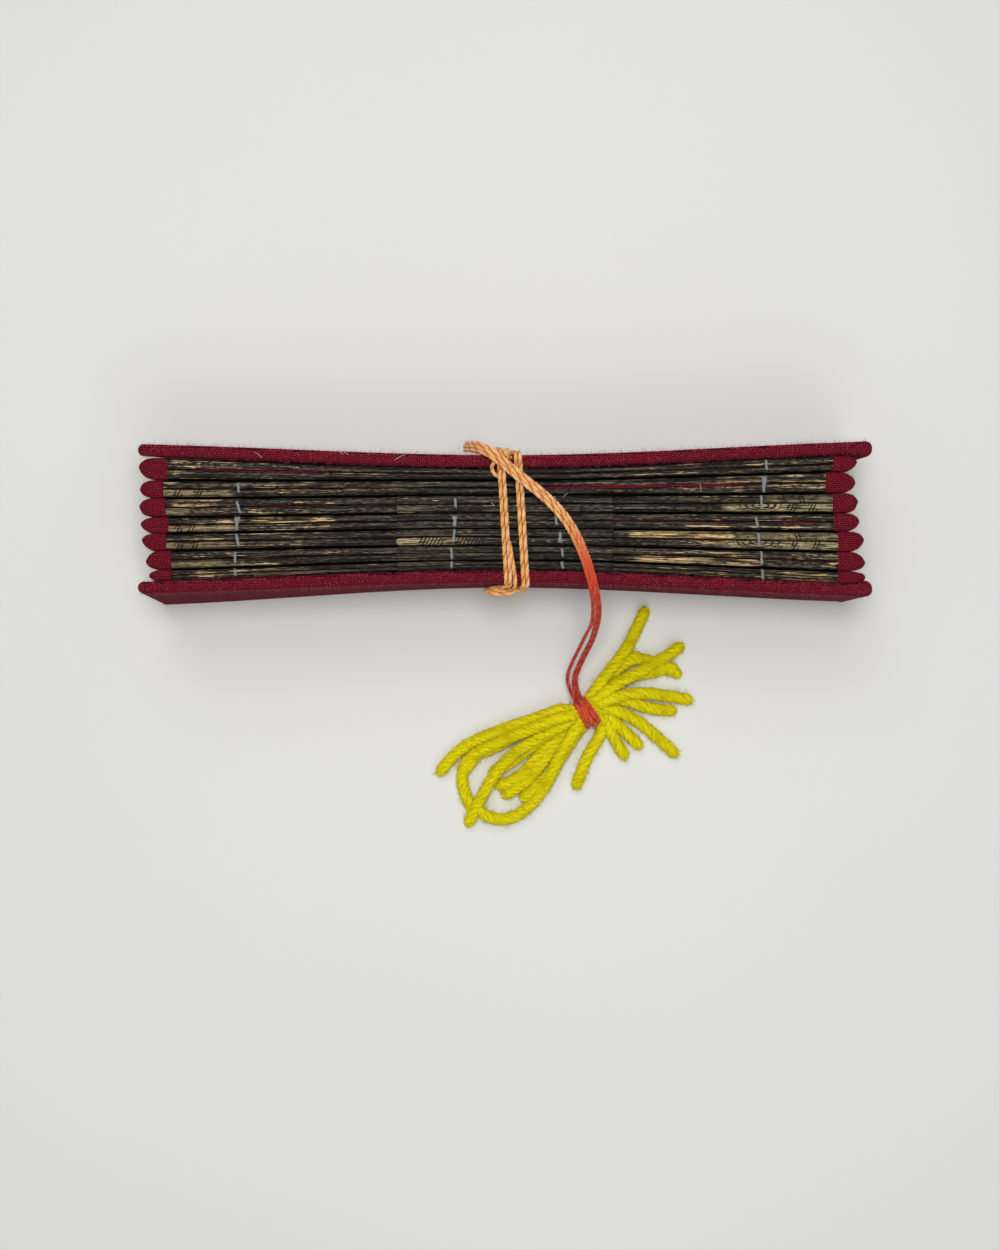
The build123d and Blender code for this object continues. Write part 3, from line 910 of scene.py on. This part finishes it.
left_yarns = [
    (2.4, 2.8, [(12.4, -40.9, 3.2), (8.6, -42.6, 3.0), (1.0, -45.0, 2.4), (-7.2, -48.2, 1.7),
                (-11.7, -51.4, 1.5), (-14.9, -55.8)]),
    (1.2, 4.6, [(11.4, -43.0, 5.0), (4.4, -46.0, 4.2), (-3.6, -49.2, 2.6), (-9.6, -53.0, 1.5),
                (-9.4, -60.4), (-6.4, -64.6)]),
    (2.0, 1.5, [(12.2, -42.0), (4.6, -44.2), (-2.4, -47.6)]),
    (0.2, 3.0, [(5.6, -48.4, 3.6), (-0.6, -53.0, 3.0), (-5.0, -60.0, 3.4), (-8.4, -67.2)]),
    (-1.4, 4.0, [(12.6, -50.4, 3.4), (8.8, -59.6, 2.0), (1.8, -66.2, 1.5), (-5.2, -65.0, 3.0),
                 (-6.6, -62.4, 1.6)]),
    (1.6, 1.5, [(7.6, -44.0), (-1.6, -49.6), (-7.4, -51.4), (-8.6, -55.2)]),
    (-1.2, 2.0, [(10.4, -50.4, 1.5), (4.4, -58.2), (-0.6, -60.6)]),
    (0.4, 1.5, [(7.6, -48.0), (0.4, -54.0), (-3.4, -55.4)]),
    (-2.1, 2.4, [(13.6, -50.2, 2.2), (9.8, -56.6, 1.5), (3.6, -61.4)]),
    (-0.3, 1.5, [(8.4, -50.6), (2.6, -57.4), (-2.2, -58.4)]),
]


def tassel_lines():
    """Every yarn's line, from within the band outwards."""
    lines = []
    for yarns, way in ((right_yarns, 1), (left_yarns, -1)):
        for spread, height, rest in yarns:
            inside = at_waist(spread * 0.55, way * 0.4, 0.45 * height + 1.7)
            rest = [point if len(point) == 3 else (*point, yarn_lying_height) for point in rest]
            lines.append(smooth_route([inside, at_waist(spread, way * 3.0, height), *rest], 10))
    return lines


def make_tassel(plied, fuzz):
    ply_radius = yarn_diameter * 0.27
    tassel = twisted(plied, "tassel", tassel_lines(), yarn_finish(), plies=yarn_plies, radius=ply_radius,
                     lay=yarn_diameter / 2 - ply_radius, pitch=yarn_pitch, step=0.35, sides=9, end=1.3)
    above_floor(tassel)
    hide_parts("tassel_yarns")
    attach(tassel, "root")
    finish = plain_thread("wool_fuzz", (206, 192, 26), (226, 216, 60))
    hairs = fuzzy(fuzz, "tassel_fuzz", tassel.data.copy(), finish, density=1.0, shortest=0.5,
                  longest=1.7, thickness_share=0.034, lean=1.2, seed=3)
    above_floor(hairs)
    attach(hairs, "root")
    return [tassel, hairs]


# Folded leaves

# How far a strip's surface lies across it, from the groove, and below its crest
crest_profile = [
    (0.05, 1.7), (0.05, 0.55), (0.10, 0.14), (0.22, 0.0), (0.45, 0.02),
    (0.68, 0.12), (0.86, 0.34), (0.97, 0.8), (1.0, 1.8),
]
leaf_stations = 300

# How rubbed the strips are in the middle, how much more at their ends, and at most
usual_wear, end_wear, most_wear = 0.2, 0.16, 0.9
# Rubbed stretches by fold, from the far board, and strip: start, end and how worn
worn_stretches = {
    (1, 1): [(-71, -58, 0.45), (-50, -37, 0.25)],
    (1, -1): [(-71, -63, 0.4), (-55, -28, 0.2), (24, 54, 0.4), (55.4, 68.5, 0.3)],
    (2, 1): [(-64.7, -59.2, 0.45), (-53.3, -44.7, 0.4)],
    (2, -1): [(-49.5, -16, 0.34), (2, 30, 0.2), (43.7, 53.3, 0.45), (58.6, 67.4, 0.35)],
    (3, 1): [(-70.8, -60.5, 0.55), (-50.4, -34.6, 0.4)],
    (3, -1): [(-66, -62.6, 0.3), (-46, -28, 0.35)],
    (4, 1): [(-54, -35, 0.6)],
    (4, -1): [(-53.3, -40, 0.45), (36.3, 45, 0.35), (57.5, 66, 0.4)],
    (5, 1): [(-66, -58, 0.35), (-54, -43.7, 0.45), (25.8, 48.5, 0.75)],
    (5, -1): [(24, 38, 0.2)],
    (6, 1): [(30.5, 45, 0.35)],
    (6, -1): [(-33.4, -31, 0.5), (27, 53.8, 0.62)],
    (7, 1): [(-66.4, -60, 0.6), (32, 53.8, 0.3), (57.3, 69.5, 0.55)],
    (7, -1): [(-66.4, -60, 0.6), (57.3, 69.5, 0.55)],
}
# Pale stretches where the leaf's own colour shows, with groups of cut strokes and a ring mark
pale_stretches = {
    (2, -1): [(-72, -57, 0.8)],
    (4, -1): [(-72, -57, 0.75)],
    (5, -1): [(-72, -58, 0.55), (46, 71, 0.9)],
    (3, -1): [(-72, -67, 0.45), (46, 71, 0.9)],
    (6, -1): [(-72, -58, 0.35)],
    (3, 1): [(55, 69, 0.35)],
    (5, 1): [(48, 71, 0.5)],
}
cut_strokes = {
    (2, -1): [(-69.6, -67.9), (-65.2, -63.6)],
    (4, -1): [(-69.2, -67.6), (-66.6, -65.0)],
    (5, -1): [(-69.0, -67.4), (-65.6, -64.2), (60.0, 61.8), (64.4, 66.2)],
    (3, -1): [(59.2, 61.0), (63.6, 65.4)],
    (3, 1): [(58.0, 59.4), (61.6, 63.2)],
    (5, 1): [(60.6, 62.0)],
}
ring_marks = {(3, -1): 53.6, (5, -1): 53.1}
# Stretches where a ridge's groove stands open and shows its hinge, with how far the hinge comes up there
# and how wide the groove is on each side, shut and open
open_grooves = {1: [(-64, -36, 0.7)], 2: [(6, 50)], 4: [(38, 50, 0.5), (57, 66, 0.8)], 3: [(-48, -40, 0.4)]}
hinge_depth, hinge_rise = 2.4, 2.1
groove_half, open_groove_half = 0.02, 0.13


def stretch_level(table, key, x, soft=1.2):
    """How much of a listed stretch each place along a strip has."""
    level = np.zeros_like(x)
    for stretch in table.get(key, []):
        start, end = stretch[:2]
        amount = stretch[2] if len(stretch) > 2 else 1.0
        inside = smooth_step(start - soft, start + soft, x) * smooth_step(end + soft, end - soft, x)
        level = np.maximum(level, amount * inside)
    return level


def strip_edges(number, side, x):
    """Where a strip's groove side lies at its crest and at its foot, and how thick it is."""
    crest = half_top(x) * fold_middle(number, x)
    thickness = half_top(x) * fold_half(number, x) - valley_gap / 2
    valley = fold_edge(number - 1 if side > 0 else number, x) * (half_base(x) - cover_clearance)
    return crest, valley - side * thickness, thickness


def rings_along(x, y, z):
    """Rings of points, one at each x, from places that y and z give for each ring and point."""
    return np.stack(np.broadcast_arrays(x[:, None], y, z), -1)


def strip_rings(number, side, x, profile, lift, groove):
    """A strip's closed outline at each place along it."""
    crest, foot, thickness = (row[:, None] for row in strip_edges(number, side, x))
    share, drop = np.array(profile).T
    groove = np.reshape(groove, (-1, 1))
    height = leaf_top - leaf_base
    out = groove + share * (thickness - groove)
    y = crest + (foot - crest) * (np.maximum(drop, 0) / height) + side * out
    return rings_along(x, y, leaf_top + lift[:, None] * (drop < height / 2) - drop)


def across_values(profile, thickness):
    """The way over a strip's surface from its crest, in millimetres."""
    ways, crest_at = [0.0], 3
    for (share, drop), (next_share, next_drop) in zip(profile, profile[1:]):
        ways.append(ways[-1] + np.hypot((next_share - share) * thickness, next_drop - drop))
    return np.array(ways) - ways[crest_at]


def strip_values(x, strip, profile, wear, pale, strokes, ring_at):
    """The values that the leaf's finish reads at each point of a strip."""
    usual_thickness, no_ring_near = 1.6, 50.0
    x, wear, pale, strokes = (row[:, None] for row in (x, wear, pale, strokes))
    ring_way = no_ring_near if ring_at is None else x - ring_at
    way = across_values(profile, usual_thickness)
    drop = np.array([drop for _, drop in profile])
    spread = np.zeros((len(x), len(profile)))
    # The last set holds the wear and each point's drop below the crest; the drop sets the painted shade
    # down the strip's sides.
    parts = {"grain": (x, way, strip), "marks": (strokes, ring_way, pale), "wear_and_shade": (wear, drop, 0)}
    return {name: np.stack([part + spread for part in three], -1) for name, three in parts.items()}


def make_leaves(finish):
    """Fourteen strips of palm leaf, folded edge to edge into seven ridges."""
    height = leaf_top - leaf_base
    foot_profile = [(1.0, height - 0.6), (0.8, height), (0.2, height), (0.0, height - 0.6)]
    profile = crest_profile + foot_profile
    x = np.linspace(leaf_low.x, leaf_high.x, leaf_stations)
    shape = Shape()
    for number in range(1, ridge_count + 1):
        for side in (-1, 1):
            strip = 2 * number + (side + 1) // 2
            key = (number, side)
            lift = wander(strip, 0.16, 61, 23, 9)(x) - 0.1
            groove = groove_half + open_groove_half * stretch_level(open_grooves, number, x, 4)
            groove = np.clip(groove + wander(strip + 40, 0.05, 31, 13)(x), 0, None)
            rings = strip_rings(number, side, x, profile, lift, groove)
            wear = usual_wear + end_wear * smooth_step(15, 55, np.abs(x))
            wear = wear + wander(strip + 80, 0.14, 47, 17, 7)(x)
            wear = np.maximum(wear, stretch_level(worn_stretches, key, x, 2.5))
            wear = np.clip(wear, 0, most_wear)
            pale = stretch_level(pale_stretches, key, x)
            strokes = stretch_level(cut_strokes, key, x, 0.05)
            values = strip_values(x, strip, profile, wear, pale, strokes, ring_marks.get(key))
            shape.add_rings(rings, **values)
    leaves = shape.make("folded_leaves", finish)
    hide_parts("leaf_strips")
    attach(leaves, "root")


def make_hinges(finish):
    """The cloth hinge inside each ridge, seen as a thin red line where a groove opens."""
    x = np.linspace(-left_edge_x, right_edge_x, 160)
    shape = Shape()
    outline = [(-0.3, -2.0), (-0.3, -0.12), (-0.12, 0.0), (0.12, 0.0), (0.3, -0.12), (0.3, -2.0)]
    across, up = np.array(outline).T
    for number in range(1, ridge_count + 1):
        middle = half_top(x) * fold_middle(number, x)
        top = leaf_top - hinge_depth + hinge_rise * stretch_level(open_grooves, number, x, 4)
        rings = rings_along(x, middle[:, None] + across, top[:, None] + up)
        shape.add_rings(rings, weave=rings * (1, 1, 0))
    hinges = shape.make("hinge_cloth", finish)
    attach(hinges, "root")


# Second layer over the middle of five ridges

inset_half_length = 22.9
inset_rise = 0.46
inset_ridges = 5
inset_profile = [
    (0.04, 0.0), (0.05, -0.28), (0.12, -0.44), (0.34, -0.47), (0.62, -0.4), (0.86, -0.2),
    (1.02, 0.12), (1.06, 0.42), (0.98, 0.44), (0.9, 0.22), (0.68, 0.02), (0.4, -0.06), (0.15, -0.04),
]
inset_ends = wander(5, 0.5, 1.9, 3.1)
# The strip whose end keeps the leaf's tan colour, and where its cut strokes lie
tan_strip = (5, -1)
tan_strokes = [(-18.2, -13.2), (-10.4, -4.2)]


def make_inset(finish):
    """A shorter second layer of leaf, folded over the middle of five ridges."""
    shape = Shape()
    for number in range(ridge_count - inset_ridges + 1, ridge_count + 1):
        for side in (-1, 1):
            strip = 20 + 2 * number + (side + 1) // 2
            first = -inset_half_length + abs(inset_ends(strip))
            last = inset_half_length - abs(inset_ends(strip + 0.7))
            x = np.linspace(first, last, 110)
            lift = wander(strip, 0.05, 19, 8)(x) - 0.03
            rings = strip_rings(number, side, x, inset_profile, lift, groove_half)
            pale = strokes = np.zeros_like(x)
            if (number, side) == tan_strip:
                crest, _, thickness = strip_edges(number, side, x)
                near = (crest + side * thickness / 2)[:, None]
                share = np.sqrt(smooth_step(0, 1, np.clip((x - first) / 0.8, 0, 1)))[:, None]
                rings[:, :, 1] = near + (rings[:, :, 1] - near) * (0.6 + 0.4 * share)
                pale = smooth_step(-3, -12, x)
                strokes = sum((x > low) & (x < high) for low, high in tan_strokes) * 1.0
            wear = 0.16 + np.clip(wander(strip + 90, 0.14, 21, 8)(x), 0, None)
            values = strip_values(x, strip, inset_profile, wear, pale, strokes, None)
            shape.add_rings(rings, **values)
    inset = shape.make("inset_leaves", finish)
    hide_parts("inset_strips")
    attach(inset, "root")


# Cloth round the ends of the strips

# By fold, from the far board: where the cloth begins and where its nose ends
left_cloth = [
    (-71.0, -76.7), (-71.7, -76.9), (-71.2, -77.0), (-70.6, -76.7),
    (-71.1, -76.1), (-70.0, -75.4), (-70.0, -75.0),
]
right_cloth = [
    (68.8, 73.7), (67.3, 73.8), (68.8, 74.3), (69.1, 74.6),
    (69.9, 75.2), (69.9, 75.6), (69.9, 75.9),
]
cloth_top = 30.5
nose_stations = 24
nose_straight_share = 0.42
nose_side_points = 12
nose_crown_points = 13
nose_crown_height, nose_slope, nose_clearance = 0.85, 0.9, 0.07
nose_tip_share, nose_base_gap = 0.05, 0.2
# How uneven a nose's end is, how far it leans, and the share of its depth that ends as its top does
nose_wobble, nose_lean, nose_even_share = 0.28, 0.35, 0.08
# The cloth's threads lie a little wider apart round a nose, and begin at another place on each
nose_thread_share, nose_thread_shift = 0.97, 3.1


def make_noses(name, node, cloth_places, finish):
    """One blunt, padded nose of folded cloth over each ridge's two strip ends."""
    shape = Shape()
    share = (1 - (1 - np.linspace(0, 1, nose_stations)) ** 1.7)[:, None]
    taper = np.maximum(share - nose_straight_share, 0) / (1 - nose_straight_share)
    width = np.maximum(1 - taper**2.3, 0) ** 0.62 * (1 - nose_tip_share) + nose_tip_share
    crown = np.linspace(0, pi, nose_crown_points)
    side = np.arange(1, nose_side_points + 1) / nose_side_points
    across = np.concatenate([np.cos(crown), 0 * side - 1, 0 * side + 1])
    peak = cloth_top - nose_slope * taper**3
    shoulder = peak - nose_crown_height
    side_z = shoulder - (shoulder - leaf_base) * side
    z = np.hstack([peak - nose_crown_height * (1 - np.sin(crown) ** 0.7), side_z, side_z[:, ::-1]])
    depth = (cloth_top - z) / (cloth_top - leaf_base)
    for number, (start, tip) in enumerate(cloth_places, 1):
        wobble = wander(number + 7, nose_wobble, 17, 7)
        lean = wander(number + 31, nose_lean, 9.5)
        pitch_top, pitch_base = (half(start) * fold_half(number, start) - nose_clearance
                                 for half in (half_top, half_base))
        top_middle = half_top(start) * fold_middle(number, start)
        base_middle = (half_base(start) - nose_base_gap) * fold_middle(number, start)
        middle = top_middle + (base_middle - top_middle) * depth
        pitch = pitch_top + (pitch_base - pitch_top) * depth
        uneven = np.where(depth > nose_even_share, wobble(z), wobble(cloth_top))
        uneven = uneven * np.sign(start) * share
        x = start + (tip + uneven - start) * share
        rings = np.stack([x, middle + across * width * pitch + lean(z) * taper**2, z], -1)
        _, ways = shares_along(rings[0])
        ways = ways * nose_thread_share + number * nose_thread_shift
        weave = np.stack([x, ways + 0 * x, 0 * x], -1)
        shape.add_rings(rings, weave=weave)
    noses = shape.make(name, finish)
    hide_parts(node)
    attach(noses, "root")
    return noses


def edge_surface(way):
    """The upper edge of a cloth-covered board, where its fuzz grows, on one side of the stack."""
    end_gap, rounding, drop, depth, off = 0.6, 0.7, 0.8, 2, 0.02
    x = np.linspace(-half_length + end_gap, half_length - end_gap, 90)
    high, outer = cover_height, board_thickness + off
    out, z = np.array([
        (-off, high - depth), (-off, high - drop), (rounding, high), (board_thickness - rounding, high),
        (outer, high - drop), (outer, high - depth),
    ]).T
    inner = half_base(x)[:, None] + (half_top(x) - half_base(x))[:, None] * z / high
    return rings_along(x, way * (inner + out), z)


def make_cloth_fuzz(fuzz, noses):
    """Short crimson fibres that stand off the cloth."""
    shape = Shape()
    for way in (1, -1):
        shape.add_rings(edge_surface(way))
    finish = plain_thread("crimson_fuzz", (140, 44, 62), (196, 116, 130))
    edges = shape.make("edge_surface", finish)
    surface = edges.data
    bpy.data.objects.remove(edges)
    hairs = fuzzy(fuzz, "board_fuzz", surface, finish, density=3.7, shortest=0.3, longest=1.3,
                  thickness_share=0.027, lean=1.25, seed=11)
    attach(hairs, "root")
    for seed, nose in enumerate(noses, 12):
        hairs = fuzzy(fuzz, f"{nose.name}_fuzz", nose.data.copy(), finish, density=0.9, shortest=0.2,
                      longest=0.75, thickness_share=0.03, lean=1.25, seed=seed)
        above_floor(hairs)
        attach(hairs, "root")


# Pale lint on the far board's edge and over the leaves: centre, direction in turns and length
lint_places = [
    (-51.6, 13.4, 30.75, 0.40, 1.9), (-34.4, 14.0, 30.75, 0.36, 1.6), (-33.2, 13.6, 30.8, 0.42, 1.2),
    (-22.0, 12.9, 30.75, 0.08, 2.6), (41.0, 6.4, 30.2, 0.27, 1.7), (50.3, -5.0, 30.2, 0.38, 1.1),
    (12.6, 4.9, 30.65, 0.62, 1.4), (-2.5, 3.0, 30.65, 0.36, 1.2), (20.6, 14.2, 30.7, 0.02, 1.5),
]


def make_lint(plied):
    lines = []
    steps = np.linspace(-0.5, 0.5, 14)
    for place_in, (x, y, z, turn, length) in enumerate(lint_places):
        along = steps * length
        aside = 0.22 * length * (steps**2 - 0.12) * (-1) ** place_in
        cosine, sine = cos(tau * turn), sin(tau * turn)
        lines.append(np.stack([
            x + along * cosine - aside * sine, y + along * sine + aside * cosine, 0 * steps + z,
        ], -1))
    finish = plain_thread("pale_lint", (170, 150, 148), (214, 206, 200))
    lint = twisted(plied, "lint", lines, finish, plies=2, radius=0.035, lay=0.03, pitch=0.9, step=0.15,
                   sides=5, end=0.1)
    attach(lint, "root")


# Stitches of white thread over the ridges, by fold: where along the strips, and how much they slant
stitch_places = [
    (2, -55.9, 0.1), (3, -55.9, 0.5), (4, -56.3, 0.2), (4, -56.1, -0.5), (5, -56.1, 0.4),
    (6, -56.6, 0.0), (7, -56.6, 0.1), (1, 54.8, 0.1), (2, 54.2, 0.2), (2, 54.4, -0.4),
    (3, 53.8, 0.1), (4, 52.8, 0.3), (5, 53.2, 0.1), (6, 53.8, 0.0), (7, 54.0, 0.1),
]
inset_stitch_places = [
    (3, -10.4, 0.1), (4, -10.6, 0.3), (4, -10.5, -0.4), (5, -10.7, -0.2), (6, -11.2, 0.1), (7, -11.2, 0.0),
    (3, 10.4, 0.1), (4, 10.7, 0.1), (5, 11.5, -0.3), (5, 11.6, 0.3), (6, 12.0, 0.1), (7, 12.0, 0.2),
]
# How long a stitch is against its form, how much that varies, and the form itself over a ridge
stitch_reach, stitch_unevenness = 0.95, 0.2
stitch_profile = [(-0.64, -0.35), (-0.58, 0.02), (-0.45, 0.18), (-0.25, 0.18), (0.0, -0.04),
                  (0.25, 0.18), (0.45, 0.18), (0.58, 0.02), (0.64, -0.35)]


def make_stitches(plied, fuzz):
    across, up = np.array(stitch_profile).T
    lines = []
    for places, lift in ((stitch_places, 0.0), (inset_stitch_places, inset_rise)):
        for number, x, slant in places:
            middle = half_top(x) * fold_middle(number, x)
            thickness = half_top(x) * fold_half(number, x)
            reach = stitch_reach + stitch_unevenness * sin(5.1 * number + x)
            shift = stitch_unevenness / 2 * sin(3.7 * number + x) + 0.05
            y = middle + (across * reach + shift) * thickness
            lines.append(np.stack([x - slant * across, y, leaf_top + lift + up], -1))
    finish = plain_thread("white_thread", (118, 122, 120), (170, 172, 168))
    stitches = twisted(plied, "stitches", lines, finish, plies=3, radius=0.13, lay=0.15, pitch=1.6,
                       step=0.12, sides=6, end=0.1)
    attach(stitches, "root")
    hairs = fuzzy(fuzz, "stitch_fuzz", stitches.data.copy(), finish, density=12, shortest=0.2,
                  longest=0.6, thickness_share=0.03, lean=1.3, seed=5)
    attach(hairs, "root")


make_camera()
make_room()
plied_thread = plied_thread_tree()
fuzz_fibres = fuzz_tree()
board_cloth = cloth_finish("crimson_cloth", True)
end_cloth = cloth_finish("crimson_end_cloth", False)
leaf = leaf_finish()
for name in ("front_board", "back_board"):
    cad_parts[name].material_slots[0].material = board_cloth
make_leaves(leaf)
make_hinges(end_cloth)
make_inset(leaf)
noses = [
    make_noses("left_noses", "left_cloth_binding", left_cloth, end_cloth),
    make_noses("right_noses", "right_cloth_binding", right_cloth, end_cloth),
]
make_cloth_fuzz(fuzz_fibres, noses)
make_lint(plied_thread)
make_stitches(plied_thread, fuzz_fibres)
tassel_parts = make_tassel(plied_thread, fuzz_fibres)
make_wraps(plied_thread)
make_tail(plied_thread, [make_band(plied_thread), *tassel_parts])
